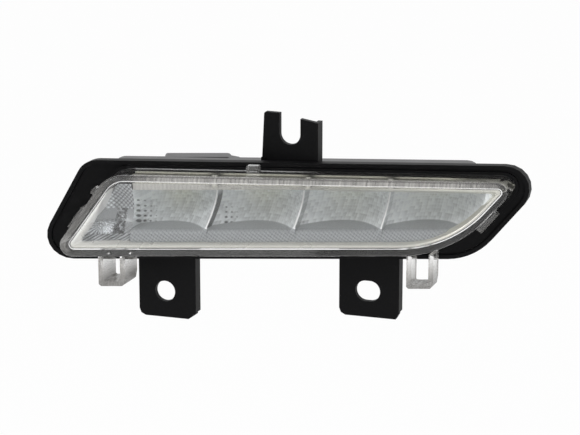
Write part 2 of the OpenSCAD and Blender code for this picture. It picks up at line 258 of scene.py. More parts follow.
def range_of(tree, source, low, high, first=0.0, last=1.0):
    """Value that goes from low to high while source goes from first to last."""
    node = node_of(tree, "ShaderNodeMapRange")
    for socket, value in (("From Min", first), ("From Max", last), ("To Min", low), ("To Max", high)):
        node.inputs[socket].default_value = value
    tree.links.new(source, node.inputs["Value"])
    return node.outputs["Result"]


def mix_shaders(tree, share, first, second):
    """Output of a mix of two shaders, share of the second one."""
    node = node_of(tree, "ShaderNodeMixShader")
    for k, source in enumerate((share, first, second)):
        tree.links.new(source, node.inputs[k])
    return node.outputs["Shader"]


def any_ray(tree, kinds):
    """1 for rays of the kinds named, else 0."""
    path = node_of(tree, "ShaderNodeLightPath")
    total = path.outputs[kinds[0]]
    for kind in kinds[1:]:
        either = node_of(tree, "ShaderNodeMath", operation="MAXIMUM")
        tree.links.new(total, either.inputs[0])
        tree.links.new(path.outputs[kind], either.inputs[1])
        total = either.outputs[0]
    return total


# Finishes: how much coarser roughness drifts than the grain, the least roughness, a bump's height in
# metres, and the part of a noise's range that colours and streaks follow
COARSER, LEAST_ROUGH, BUMP_HEIGHT = 12, 0.02, 0.0002
NOISE_LOW, NOISE_HIGH = 0.3, 0.7


def new_material(name):
    mat = bpy.data.materials.new(name)
    mat.use_nodes = True
    return mat, mat.node_tree, mat.node_tree.nodes["Principled BSDF"]


def finish_material(name, color, rough, metallic=0.0, grain=400.0, bump=0.0, shift=0.15, spread=0.08,
                    specular=0.5, toned=False):
    """A finish with a fine grain: colour and roughness drift with noise, and a bump of the same grain.

    Where it is toned, the mesh's tone multiplies the colour.
    """
    mat, tree, shader = new_material(name)
    shader.inputs["Metallic"].default_value = metallic
    shader.inputs["Specular IOR Level"].default_value = specular
    place = node_of(tree, "ShaderNodeTexCoord").outputs["Object"]
    noise = noise_of(tree, place, grain, detail=5)
    low = [c * (1 - shift) for c in color]
    high = [min(1, c * (1 + shift)) for c in color]
    shade = ramp_of(tree, noise, (NOISE_LOW, low), (NOISE_HIGH, high))
    if toned:
        tone = node_of(tree, "ShaderNodeAttribute", attribute_name="tone")
        product = node_of(tree, "ShaderNodeVectorMath", operation="MULTIPLY")
        tree.links.new(shade, product.inputs[0])
        tree.links.new(tone.outputs["Vector"], product.inputs[1])
        shade = product.outputs["Vector"]
    tree.links.new(shade, shader.inputs["Base Color"])
    coarse = noise_of(tree, place, grain / COARSER, detail=3)
    roughness = range_of(tree, coarse, max(LEAST_ROUGH, rough - spread), rough + spread)
    tree.links.new(roughness, shader.inputs["Roughness"])
    if bump:
        bumps = node_of(tree, "ShaderNodeBump")
        bumps.inputs["Strength"].default_value = bump
        bumps.inputs["Distance"].default_value = BUMP_HEIGHT
        tree.links.new(noise, bumps.inputs["Height"])
        tree.links.new(bumps.outputs["Normal"], shader.inputs["Normal"])
    return mat


# Clear plastic: scale of its unevenness, its slight tint, and the roughness and unevenness of its milk,
# which is painted light
CLEAR_GRAIN, CLEAR_TINT, MILK_ROUGH, MILK_UNEVEN = 60, 0.985, 0.35, 0.45


def clear_material(name, color, rough, ior, milk):
    """Clear plastic, milky where the mesh's haze says so: x how much, y how pale, with streaks by flow; this
    milk is painted light.

    Shadow and diffuse rays pass straight through, so that what is inside gets light.
    """
    mat, tree, shader = new_material(name)
    shader.inputs["Transmission Weight"].default_value = 1.0
    shader.inputs["IOR"].default_value = ior
    noise = noise_of(tree, node_of(tree, "ShaderNodeTexCoord").outputs["Object"], CLEAR_GRAIN)
    tint = ramp_of(tree, noise, (0.0, [c * CLEAR_TINT for c in color]), (1.0, color))
    tree.links.new(tint, shader.inputs["Base Color"])
    tree.links.new(range_of(tree, noise, rough * 0.5, rough * 1.5), shader.inputs["Roughness"])
    scatter = node_of(tree, "ShaderNodeBsdfPrincipled")
    scatter.inputs["Roughness"].default_value = MILK_ROUGH
    haze = node_of(tree, "ShaderNodeAttribute", attribute_name="haze")
    parts = node_of(tree, "ShaderNodeSeparateXYZ")
    tree.links.new(haze.outputs["Vector"], parts.inputs["Vector"])
    pale = node_of(tree, "ShaderNodeVectorMath", operation="SCALE")
    pale.inputs[0].default_value = milk
    tree.links.new(parts.outputs["Y"], pale.inputs["Scale"])
    tree.links.new(pale.outputs["Vector"], scatter.inputs["Base Color"])
    flow = node_of(tree, "ShaderNodeAttribute", attribute_name="flow")
    streaks = noise_of(tree, flow.outputs["Vector"], 1.0, detail=3)
    uneven = range_of(tree, streaks, 1 - MILK_UNEVEN, 1 + MILK_UNEVEN, NOISE_LOW, NOISE_HIGH)
    amount = node_of(tree, "ShaderNodeMath", operation="MULTIPLY", use_clamp=True)
    tree.links.new(parts.outputs["X"], amount.inputs[0])
    tree.links.new(uneven, amount.inputs[1])
    body = mix_shaders(tree, amount.outputs[0], shader.outputs["BSDF"], scatter.outputs["BSDF"])
    through = node_of(tree, "ShaderNodeBsdfTransparent")
    unseen = any_ray(tree, ("Is Shadow Ray", "Is Diffuse Ray"))
    lit = mix_shaders(tree, unseen, body, through.outputs["BSDF"])
    tree.links.new(lit, tree.nodes["Material Output"].inputs["Surface"])
    return mat


BLACK = finish_material("black_moulding", (0.0032, 0.0032, 0.0036), 0.48, grain=900, bump=0.12, shift=0.25,
                        specular=0.1)
CLEAR = clear_material("clear_plastic", (0.97, 0.975, 0.975), 0.02, 1.5, (0.76, 0.74, 0.71))
METAL = finish_material("metallised", (0.83, 0.86, 0.875), 0.34, metallic=0.22, grain=500, bump=0.05,
                        shift=0.04, spread=0.06, toned=True)
BRIGHT = finish_material("bright_frame", (0.59, 0.58, 0.53), 0.28, metallic=0.5, grain=500, bump=0.02,
                         shift=0.02, spread=0.05, toned=True)
# painted highlight: a whiter finish for the ridges' crests
RIDGE_HIGHLIGHT = finish_material("ridge_painted_highlight", (0.97, 0.97, 0.96), 0.2, grain=500, bump=0.02,
                           shift=0.01, spread=0.04)
STRIP = finish_material("frame_strip", (0.62, 0.61, 0.56), 0.3, metallic=0.4, grain=500, bump=0.02,
                        shift=0.03, spread=0.05, toned=True)
GREY = finish_material("grey_cover", (0.072, 0.072, 0.074), 0.42, grain=800, bump=0.15, specular=0.4)

FINISHES = {
    "housing": BLACK,
    "rear_cover": GREY,
    "lens_seal": finish_material("glue", (0.02, 0.02, 0.02), 0.5, grain=300, bump=0.3),
    "led_board": finish_material("board_white", (0.7, 0.71, 0.68), 0.35, grain=600),
    "thermal_pad": finish_material("pad", (0.3, 0.34, 0.38), 0.7, grain=700, bump=0.3),
    "heat_spreader": finish_material("sheet", (0.75, 0.76, 0.78), 0.32, metallic=1.0, grain=350, bump=0.1),
    "cover_gasket": finish_material("seal", (0.02, 0.02, 0.02), 0.6, grain=500, bump=0.2),
    "driver_board": finish_material("board_green", (0.02, 0.13, 0.06), 0.3, grain=500),
    "driver_chip": finish_material("chip", (0.015, 0.015, 0.017), 0.45, grain=1500, bump=0.2),
    "inductor": finish_material("ferrite", (0.05, 0.05, 0.055), 0.5, grain=1200, bump=0.3),
    "vent_cap": finish_material("cap", (0.015, 0.015, 0.015), 0.6, grain=700, bump=0.2),
    "vent_membrane": finish_material("membrane", (0.8, 0.8, 0.78), 0.8, grain=2500, bump=0.4),
    "board_link": finish_material("pin", (0.75, 0.66, 0.42), 0.28, metallic=1.0, grain=900),
}
# finishes of the nodes that come in numbered copies
COPIES = [
    ("led", 4, finish_material("phosphor", (0.85, 0.72, 0.25), 0.5, grain=900, bump=0.1)),
    ("spreader_screw", 3, finish_material("screw", (0.6, 0.6, 0.62), 0.3, metallic=1.0, grain=900,
                                          bump=0.1)),
    ("terminal", 3, FINISHES["board_link"]),
    ("capacitor", 2, finish_material("can", (0.6, 0.62, 0.66), 0.25, metallic=1.0, grain=900)),
]
for name, count, mat in COPIES:
    for i in range(count):
        FINISHES["%s_%d" % (name, i + 1)] = mat
for name, mat in FINISHES.items():
    obj = nodes[name]
    obj.data.materials.clear()
    obj.data.materials.append(mat)

ease(nodes["housing"], 0.35)
ease(nodes["rear_cover"], 0.3)

# Lens: radii of its front edge outside and inside, the steps round them, how close the next loop of
# points lies, and the depth of a loop halfway along the walls
EDGE_R, INNER_R, EDGE_STEPS, CLOSE, WALL_MID = 1.5, 1.2, 6, 0.25, 8.0


def quarter(radius):
    """Points (inset, depth) of a quarter circle, from the wall to the front."""
    turns = [math.pi / 2 * k / EDGE_STEPS for k in range(EDGE_STEPS + 1)]
    return [(radius * (1 - math.cos(t)), radius * (1 - math.sin(t))) for t in turns]


def lens_shell():
    """The lens without its loops and tabs, as an outer and an inner skin joined at the foot."""
    outer = [(0.0, LENS_FOOT), (0.0, WALL_MID), (0.0, EDGE_R + CLOSE)] + quarter(EDGE_R)
    outer += [(WALL * 0.8, 0.0), (WALL, 0.0), (WALL + CLOSE, 0.0)]
    inner = [(WALL, LENS_FOOT), (WALL, WALL_MID)]
    inner += [(WALL + inset, WALL + w) for inset, w in quarter(INNER_R)]
    points = [seen(x, w, z) for inset, w in outer + inner for x, z in outline(inset)]
    n = len(outline())
    base = n * len(outer)
    faces = loops_to_faces(n, len(outer))
    faces += [tuple(base + v for v in reversed(f)) for f in loops_to_faces(n, len(inner))]
    faces.append(tuple((len(outer) - 1) * n + i for i in range(n)))
    faces.append(tuple(base + (len(inner) - 1) * n + n - 1 - i for i in range(n)))
    faces += [(i, base + i, base + (i + 1) % n, (i + 1) % n) for i in range(n)]
    obj = mesh_object("lens_shell", points, faces, CLEAR)
    fix_normals(obj)
    return obj


# loops under the lens: left side, width, lowest height and rear of each, their wall, front and chamfer,
# and how far their legs reach into the lens
LOOPS = [(-75.0, 10.4, -29.4, 12.6), (45.2, 10.6, -30.6, 8.0)]
LOOP_WALL, LOOP_FRONT, LOOP_CHAMFER, LOOP_SUNK = 2.0, 0.6, 0.9, 0.9
# tabs on the lens's walls: side of the lens, share of that side, length and how far each stands out,
# how far they reach into the wall, and their front and rear
TABS = [(2, 0.61, 10, 2.6), (2, 0.285, 3, 3), (0, 0.42, 10, 2.2), (1, 0.667, 4.4, 3.1)]
TAB_SUNK, TAB_FRONT, TAB_BACK = 1.0, 9.0, 12.4


def loop_part(left, width, low, back):
    """A clear loop under the lens, its bar and two legs, drawn along Y."""
    right, top = left + width, LENS[0][1] + LOOP_SUNK
    bar = low + LOOP_WALL
    outer = [(left, top), (left, low + LOOP_CHAMFER), (left + LOOP_CHAMFER, low), (right - 1.3, low),
             (right - 0.5, low + 0.8), (right, low + 4), (right, top)]
    gap = [(right - LOOP_WALL, top), (right - LOOP_WALL, bar + 0.5), (right - LOOP_WALL - 0.5, bar),
           (left + LOOP_WALL + 0.5, bar), (left + LOOP_WALL, bar + 0.5), (left + LOOP_WALL, top)]
    return prism(outer + gap, LOOP_FRONT, back)


def tab_part(i, share, length, proud):
    """A stub that stands out from side i of the lens."""
    p, q = LENS[i], LENS[(i + 1) % len(LENS)]
    ax, az = unit(q[0] - p[0], q[1] - p[1])
    cx, cz = p[0] + (q[0] - p[0]) * share, p[1] + (q[1] - p[1]) * share
    corners = [(-length / 2, -TAB_SUNK), (-length / 2, proud), (length / 2, proud), (length / 2, -TAB_SUNK)]
    section = [(cx + ax * along + az * out, cz + az * along - ax * out) for along, out in corners]
    return prism(section, TAB_FRONT, TAB_BACK)


lens = lens_shell()
union(lens, [loop_part(*sizes) for sizes in LOOPS] + [tab_part(*sizes) for sizes in TABS])
lens.data.materials.clear()
lens.data.materials.append(CLEAR)
smooth(lens, 35)

RING = outline()
# left and right end of the bezel's deck
DECK_X0, DECK_X1 = -64.4, 84.0
# how milky and how pale the loops and the tabs are, and how milky the edge is, as painted light, at the top,
# at the left, all round and on the left wall
LOOP_MILK, LOOP_SHADE, TAB_MILK, TAB_SHADE = 0.72, 0.33, 0.14, 0.2
TOP_MILK_PAINTED_LIGHT, LEFT_MILK_PAINTED_LIGHT, LOW_MILK_PAINTED_LIGHT, WALL_MILK_PAINTED_LIGHT = 0.4, 0.16, 0.02, 0.12
# how milky the outer half of the top edge is, as a share of its inner half, and where and over what
# width its milk would rise from nothing to all of it
UPPER_SHARE, STEP_AT, STEP_WIDE = 0.5, 0.25, 0.5
# length over which the top edge's milk fades at its right end, and the tolerance of a place
END_FADE, NEAR = 8, 0.05
# a point of the lens below this height is on a loop
LOOP_TOP = LENS[0][1] - NEAR
# streaks to a millimetre, along the edge and across it: at the sides, at the top and on the loops
SIDE_STREAKS, TOP_STREAKS, LOOP_STREAKS = (0.06, 1.6), (1.16, 0.15), (1.5, 0.12)


def lens_haze_painted_light(x, w, z):
    """How milky the lens is at a point: painted light as milk on its moulded edge, most at the top and the
    left side; its window and its top wall aren't milky.
    """
    if z < LOOP_TOP:
        return LOOP_MILK, LOOP_SHADE, 0.0
    away, dx, dz, run = nearest_edge(x, z, RING)
    if away > NEAR and w > TAB_FRONT - NEAR and not inside(x, z, RING):
        return TAB_MILK, TAB_SHADE, 0.0
    # painted light: the edge's milk is heaviest along the top and on the left side
    upper = 0.0 if x < DECK_X0 else max(0.0, -dx) ** 2 * fade(x, DECK_X1, DECK_X1 - END_FADE)
    left = max(0.0, -dz) ** 3 if x < 0 else 0.0
    if w < EDGE_R + NEAR and away <= WALL + NEAR:
        lower = min(1, max(UPPER_SHARE, (away - STEP_AT) / STEP_WIDE))
        return LOW_MILK_PAINTED_LIGHT + max(TOP_MILK_PAINTED_LIGHT * upper * lower, LEFT_MILK_PAINTED_LIGHT * left), 1.0, 0.0
    if away < NEAR and w > EDGE_R:
        return LOW_MILK_PAINTED_LIGHT + WALL_MILK_PAINTED_LIGHT * left, 1.0, 0.0
    return 0.0, 1.0, 0.0


def lens_flow(x, w, z):
    """Streaks in the painted milk run across the edge at the top, as flutes, and along it elsewhere."""
    if z < LOOP_TOP:
        return x * LOOP_STREAKS[0], z * LOOP_STREAKS[1], w * LOOP_STREAKS[1]
    away, dx, dz, run = nearest_edge(x, z, RING)
    upper = max(0.0, -dx) ** 4
    along, across = (side + (top - side) * upper for side, top in zip(SIDE_STREAKS, TOP_STREAKS))
    return run * along, (away + w) * across, 0.0


paint(lens, "haze", lens_haze_painted_light)
paint(lens, "flow", lens_flow)
dress(lens, "lens")

# Bezel: height of the frame's open ends, lower edge and front of the fluted strip, rear of the bezel
FRAME_TOP, FASCIA_Z, FASCIA_W, BEZEL_BACK = 11.2, 9.9, 9.0, 12.5
# section of the frame, as points (inset, depth)
LIP = [(3.05, BEZEL_BACK), (3.05, 4.2), (3.1, 3.7), (3.3, 3.35), (3.65, 3.15), (4.0, 3.2), (4.3, 3.45),
       (4.7, 4.2), (5.25, 5.4), (5.6, 6.3), (5.7, 7.2), (4.9, 7.4), (4.65, 8.0), (4.65, BEZEL_BACK)]
# how much paler the painted highlight makes the frame at its left and right ends, in red, green and blue,
# and
# between which places it gets so: along the face at the left, upwards there, and along the face at the right
LEFT_HIGHLIGHT, RIGHT_HIGHLIGHT = (0.64, 0.65, 0.76), (0.12, 0.12, 0.1)
LEFT_FADE, UP_FADE, RIGHT_FADE = (-64, -70), (-13.5, -10.5), (40, 60)


def lens_top(x):
    """Height of the lens's top edge at x."""
    (x1, z1), (x0, z0) = LENS[1], LENS[2]
    return z0 + (x - x0) * (z1 - z0) / (x1 - x0)


def open_outline(inset, top):
    """The outline from its left end below top, round the bottom, to its right end below top."""
    ring = outline(inset)
    count = len(ring)
    # start at the highest point of the upper left corner, and go anticlockwise down the left edge
    start = max(range(count), key=lambda i: (ring[i][1] <= top and ring[i][0] < 0, ring[i][1]))
    path = []
    for k in range(count):
        x, z = ring[(start + k) % count]
        if z > top and k > 0:
            prev = path[-1]
            t = (top - prev[1]) / (z - prev[1])
            path.append((prev[0] + (x - prev[0]) * t, top))
            break
        path.append((x, z))
    return path


def bezel_frame():
    """The frame that runs from one open end to the other, with the section of the lip."""
    paths = [open_outline(inset, FRAME_TOP) for inset, w in LIP]
    count = min(len(path) for path in paths)
    points = [seen(x, w, z) for (inset, w), path in zip(LIP, paths) for x, z in path[-count:]]
    faces = loops_to_faces(count, len(LIP), closed=False, ring_closed=True)
    faces.append(tuple(j * count for j in range(len(LIP))))
    faces.append(tuple(j * count + count - 1 for j in reversed(range(len(LIP)))))
    obj = mesh_object("bezel_frame", points, faces, BRIGHT)
    fix_normals(obj)
    smooth(obj, 40)
    return obj


def frame_highlight(x, w, z):
    """Painted highlight: the frame is whiter along its left side, and a little at its right end."""
    left = fade(x, *LEFT_FADE) * fade(z, *UP_FADE)
    right = fade(x, *RIGHT_FADE)
    return tuple(1 + a * left + b * right for a, b in zip(LEFT_HIGHLIGHT, RIGHT_HIGHLIGHT))


# Deck: how far it is below the lens's top edge at its left end, how much further for each millimetre,
# its thickness, and the least height of the strip that hangs from its front edge
DECK_DROP, DECK_FALL, DECK_T, STRIP_H = 3.35, 0.0015, 1.2, 1.5
# height and width of the edge that stands along the deck's rear, which carries a painted highlight
EDGE_H, EDGE_W = 0.65, 0.6
# width and depth of the strip's flutes, and the columns of points in each
FLUTE, FLUTE_H, FLUTE_COLUMNS = 1.7, 0.22, 8
# tone of the edge's painted highlight, of the deck behind the strip, which is painted shade, and of the
# strip, and the strip's fall in tone
EDGE_HIGHLIGHT, DECK_PAINTED_SHADE, STRIP_TONE, STRIP_FALL = 1.55, 0.42, 0.74, 0.0012
# how far below the deck's top the strip's tone begins, and its streaks: size, closeness and start
STRIP_FROM, STREAKS = 0.75, [(0.06, 4.1, 0), (0.05, 9.7, 1)]
# how dark the painted shadows by a peg are on the deck and on the strip and how wide they are, and how dark
# the painted shade at the deck's right end is
DECK_PEG_SHADOW, STRIP_PEG_SHADOW, PEG_SHADOW_WIDE, END_PAINTED_SHADE = 0.8, 0.4, 2.4, 0.75
# places between which the painted shade darkens the deck's right end, and heights between which the strip's
# painted shadow by a peg does
END_PAINTED_SHADE_AT, STRIP_PEG_SHADOW_AT = (58, 66), (11, 12)
# pegs before the strip: their places along the face, sides, how far their middle stands out, and their
# section as drop from the top and radius
PEG_U = (-31.0, 7.5, 41.5)
PEG_SIDES, PEG_PROUD = 16, 0.3
PEG_SECTION = [(3.0, 0.7), (2.7, 1.2), (0.5, 1.35), (0.0, 0.95)]
PEG_X = [u * COS - FASCIA_W * SIN for u in PEG_U]


def deck_top(x):
    return lens_top(x) - DECK_DROP - DECK_FALL * (x - DECK_X0)


def deck_section(x):
    """Points (depth, height) round the deck and its strip at x, from the deck's lower rear edge."""
    wave = FLUTE_H * abs(math.sin(math.pi * (x - DECK_X0) / FLUTE))
    top = deck_top(x)
    bottom = min(FASCIA_Z, top - STRIP_H)
    edge, high = BEZEL_BACK - EDGE_W, top + EDGE_H
    return [(BEZEL_BACK, top - DECK_T), (BEZEL_BACK, high - 0.1), (BEZEL_BACK - 0.1, high),
            (edge + 0.05, high), (edge, high - 0.05), (edge, top + 0.02), (edge - 0.1, top),
            (FASCIA_W + 0.5, top - 0.1), (FASCIA_W + 0.12, top - 0.25), (FASCIA_W, top - 0.6),
            (FASCIA_W - wave, top - 0.9), (FASCIA_W - wave, bottom + 0.5),
            (FASCIA_W - 0.1, bottom + 0.3), (FASCIA_W, bottom), (FASCIA_W + 1.2, bottom),
            (FASCIA_W + 1.3, top - DECK_T - 0.2), (FASCIA_W + 1.7, top - DECK_T)]


def bezel_deck():
    """The top deck with the fluted strip that hangs from its front edge."""
    columns = int((DECK_X1 - DECK_X0) / FLUTE * FLUTE_COLUMNS)
    places = [DECK_X0 + (DECK_X1 - DECK_X0) * i / columns for i in range(columns + 1)]
    points = [seen(x, w, z) for x in places for w, z in deck_section(x)]
    n = len(deck_section(DECK_X0))
    faces = [(a, d, c, b) for a, b, c, d in loops_to_faces(n, columns + 1)]
    faces.append(tuple(range(n)))
    faces.append(tuple(columns * n + j for j in reversed(range(n))))
    obj = mesh_object("bezel_deck", points, faces, STRIP)
    fix_normals(obj)
    smooth(obj, 35)
    return obj


def deck_painted_light(x, w, z):
    """Painted light on the deck: a painted highlight on its rear edge, painted shade on the rest of its top,
    painted shadows by the pegs and painted shade at its right end; the strip paler.
    """
    peg_shadow = min(1, sum(math.exp(-((x - place) / PEG_SHADOW_WIDE) ** 2) for place in PEG_X))
    # painted highlight on the rear edge, painted shade on the deck's top and painted shadows by the pegs
    if z > deck_top(x) - STRIP_FROM:
        painted_tone = EDGE_HIGHLIGHT if w > BEZEL_BACK - EDGE_W - NEAR else DECK_PAINTED_SHADE
        painted_tone *= (1 - DECK_PEG_SHADOW * peg_shadow) * (1 - END_PAINTED_SHADE * fade(x, *END_PAINTED_SHADE_AT))
        return painted_tone, painted_tone, painted_tone * 0.93
    streak = sum(size * math.sin(x * close + start) for size, close, start in STREAKS)
    pale = STRIP_TONE - STRIP_FALL * (x - DECK_X0) + streak
    pale *= 1 - STRIP_PEG_SHADOW * peg_shadow * fade(z, *STRIP_PEG_SHADOW_AT)
    return pale, pale * 0.99, pale * 1.02


def peg(k):
    """Peg k, a short round post before the strip."""
    top = deck_top(PEG_X[k]) + EDGE_H
    turns = [2 * math.pi * t / PEG_SIDES for t in range(PEG_SIDES)]
    points = [at(PEG_U[k] + r * math.cos(t), FASCIA_W - PEG_PROUD + r * math.sin(t), top - drop)
              for drop, r in PEG_SECTION for t in turns]
    last = PEG_SIDES * (len(PEG_SECTION) - 1)
    faces = loops_to_faces(PEG_SIDES, len(PEG_SECTION))
    faces += [tuple(reversed(range(PEG_SIDES))), tuple(last + i for i in range(PEG_SIDES))]
    return mesh_object("bezel_peg_%d" % (k + 1), points, faces, BRIGHT, angle=40)


# the frame and the pegs get the frame's painted highlight, the deck its painted light
for piece, shade in [(bezel_frame(), frame_highlight), (bezel_deck(), deck_painted_light)] + [
        (peg(k), frame_highlight) for k in range(len(PEG_U))]:
    paint(piece, "tone", shade)
    dress(piece, "bezel")

# Reflector: places of the ridges left of each bowl and at the right end, and of the bowls' middles
RIDGES = [-64.2, -34.5, 0.0, 33.9, 68.1]
CENTRES = [-51.6, -17.25, 16.95, 51.0]
BOWLS = len(CENTRES)
# deepest point of a bowl, height of the bowls' top and of the shelf, front of the reflector, its right end
VERTEX, BOWL_Z, SHELF_Z, FRONT_W, REFLECTOR_END = 33.0, 10.0, -6.0, 5.2, 80.0
# how flat a bowl is across and upright, and how much deeper it gets towards its left side
ACROSS, UPRIGHT, TILT = 24.0, 18.5, 0.2
# how far inside the lens's outline the reflector and its chamber end, and the height above which the
# reflector doesn't
BOWLS_INSET, CHAMBER_INSET, OPEN_ABOVE = 5.0, 3.4, 9.0
# width and bulge of a large facet, width of a small one, and the spacing of the columns of points
FACET, BULGE, GRAIN, X_STEP = 2.3, 0.16, 1.15, 0.3
# rows of points on a bowl, its shelf, the shelf's rounded front and the apron below it, and columns of
# points on the wall left of the first bowl and right of each ridge
BOWL_ROWS, SHELF_ROWS, NOSE_ROWS, APRON_ROWS = 56, 10, 8, 22
FIRST_WALL, RIDGE_WALL = 16, 6
# how far the points rise above the bowls' top, how much the reflector's front leans back for each
# millimetre upwards, and the least depth of a shelf
OVER_TOP, FRONT_LEAN, SHELF_LEAST = 0.2, 0.02, 0.05
# radius of the shelf's front, how far the shelf falls, and the height of front and apron together
NOSE, SHELF_FALL, APRON_H = 2.6, 0.3, 6.5
# how far the apron bulges and its foot stands back, and its hatch's relief, slant and pitch
APRON_BULGE, APRON_FOOT, HATCH_H, HATCH_SLANT, HATCH_PITCH = 0.5, 0.6, 0.05, 1.2, 1.1
# width of a ridge's crest, which gets a painted highlight, and the tolerance of its place
CREST, CREST_NEAR = 0.55, 0.004
# how dark the painted shade on the wall right of each ridge is, and how bright each bowl
WALL_PAINTED_SHADE = [0.15, 0.93, 0.5, 0.3]
BOWL_SHINE = [1.0, 1.02, 1.06, 1.12]
# heights between which the painted shade on a wall gets dark, and the shares of its width between which it
# is
WALL_FADE, WALL_FROM, WALL_TO = (9.5, 5.5), 0.1, 0.97
# a bowl's tone at its left side, how much it falls over how far to the right, and how much it rises for
# each millimetre above a height: painted light, paler at the upper left
BOWL_TONE, BOWL_FALL, FALL_LENGTH, BOWL_RISE, RISE_FROM = 0.98, 0.12, 34, 0.018, -1
# how much the small facets shade off across and upwards, and how much they differ from each other
SHADE_X, SHADE_Z, DIFFER = 0.05, 0.045, 0.32
# the painted highlight at a bowl's upper left: how much, from where to where past the ridge, lowest height
HIGHLIGHT, HIGHLIGHT_FROM, HIGHLIGHT_TO, HIGHLIGHT_Z = 0.12, 1.5, 6.5, 8.2
# how much blue a bowl's middle lacks, that middle's height, and half its width and height
OLIVE, OLIVE_Z, OLIVE_WIDE, OLIVE_HIGH = 0.07, 5, 7, 4
# most of red, green and blue in a tone
TONE_MOST = (1.16, 1.16, 1.14)
# tone of the shelf, how much darker its front is and how much paler the apron's foot
SHELF_TONE, FRONT_DARKER, FOOT_PALER = 0.41, 0.1, 0.08
# fields of painted shade at the facet corners, seen from the front: u and height of the first, columns,
# rows, size
SHADED_CORNERS = [(-63.2, 8.0, 4, 5, 0.98), (-26.8, 5.0, 3, 4, 0.8), (3.4, 2.6, 2, 4, 0.5)]
# spacing of the spots of painted shade at the facet corners, and how dark they are
DOT, DOT_SHADE = 2.25, 0.93
# rise for each millimetre of depth along the line of sight
SLOPE = 0.249
# small chamber: left end, top, lowest height and rows of points
CHAMBER_LEFT, CHAMBER_TOP, CHAMBER_LOW, CHAMBER_ROWS = -92.0, 12.8, -12.6, 84
# its depth, and its hollow's extra depth, place and the square of its size
CHAMBER_W, HOLLOW, HOLLOW_X, HOLLOW_Z, HOLLOW_SIZE = 6, 6.5, -71, 3, 80.0
# its pillows' size, its fan's middle, count of flutes and plain middle, and its stripes' slant and how
# close they are
PILLOW, FAN_X, FAN_Z, FAN_RAYS, FAN_PLAIN = 1.9, -77.0, -11.5, 34, 4
SLANT, FINE_STRIPES, WIDE_STRIPES = 0.62, 5.0, 3.4
# relief of pillows, fan and stripes, and the pillows' lowest height, the fan's top and right end, and the
# stripes' top
PILLOW_H, FAN_H, STRIPE_H = 0.5, 0.4, 0.3
PILLOWS_LOW, FAN_TOP, FAN_RIGHT, RELIEF_TOP = 2.0, -3.0, -68, -4.0
# its pale strokes, painted highlights: where they meet, their count, and the middle of the brightest of them
STROKE_X, STROKE_Z, STROKES, BURST_X, BURST_Z = -76.0, -4.4, 26, -74, -7.2
# left and right end of its dark flecks, their width, height and slant, and the top of its strokes and of
# its stripes
FLECK_X, FLECK_END, FLECK_W, FLECK_H, FLECK_SLANT = -72, -67.5, 0.75, 0.7, 0.4
STROKES_TOP, STRIPES_TOP = -3.6, -8.6
# its tones, painted highlights and shade on its relief: plain above the strokes and right of the flecks, and
# the least tone and the most added to it for pillows and strokes, for flecks and for stripes
PLAIN, PLAIN_RIGHT = 0.34, 0.36
PALE_LEAST, PALE_MORE, FLECK_LEAST, FLECK_MORE, STRIPE_LEAST, STRIPE_MORE = 0.2, 0.85, 0.03, 0.5, 0.04, 0.62
# lowest height of the pale pillows, where the duller ones begin and how dull they are
PALE_LOW, DULL_X, DULL = 1.5, -73, 0.7
# how much paler the burst, a painted highlight, is and the square of its size, where the pale left end ends
# and how much paler it is, and the most of a tone
BURST, BURST_SIZE, END_X, END_PALER, CHAMBER_MOST = 0.5, 4, -83, 0.35, 1.1


def pillow(v):
    """A bulge that is 1 in the middle of each facet and 0 at its edges."""
    f = v - math.floor(v)
    return 1 - (2 * f - 1) ** 2


def pillows(x, z):
    """Pillows in slanting rows."""
    return pillow((x + z) / PILLOW) * pillow((x - z) / PILLOW)


def scatter_of(i, j):
    """A number from 0 to 1 that differs from one facet to the next."""
    return math.fmod(abs(math.sin(i * 12.9898 + j * 78.233)) * 43758.5453, 1.0)


def bowl_depth(i, x, z):
    """Depth of bowl i: hollow both ways, and deeper at its left side than at its right one."""
    dx, dz = x - CENTRES[i], z - BOWL_Z
    depth = VERTEX - dx * dx / ACROSS - dz * dz / UPRIGHT - TILT * dx
    return depth - BULGE * pillow(dx / FACET) * pillow(dz / FACET)


def chamber_depth(x, z):
    """Depth of the small chamber: pillows above, flutes and slanted stripes below, one round hollow."""
    dx, dz = x - FAN_X, z - FAN_Z
    relief = 0.0
    if z > PILLOWS_LOW:
        relief = PILLOW_H * pillows(x, z)
    elif z < FAN_TOP and x < FAN_RIGHT:
        relief = FAN_H * math.sin(math.atan2(dz, dx) * FAN_RAYS) * min(1, math.hypot(dx, dz) / FAN_PLAIN)
    elif z < RELIEF_TOP:
        relief = STRIPE_H * math.sin((x * SLANT - z) * WIDE_STRIPES)
    away = (x - HOLLOW_X) ** 2 + (z - HOLLOW_Z) ** 2
    return CHAMBER_W + HOLLOW * math.exp(-away / HOLLOW_SIZE) + relief


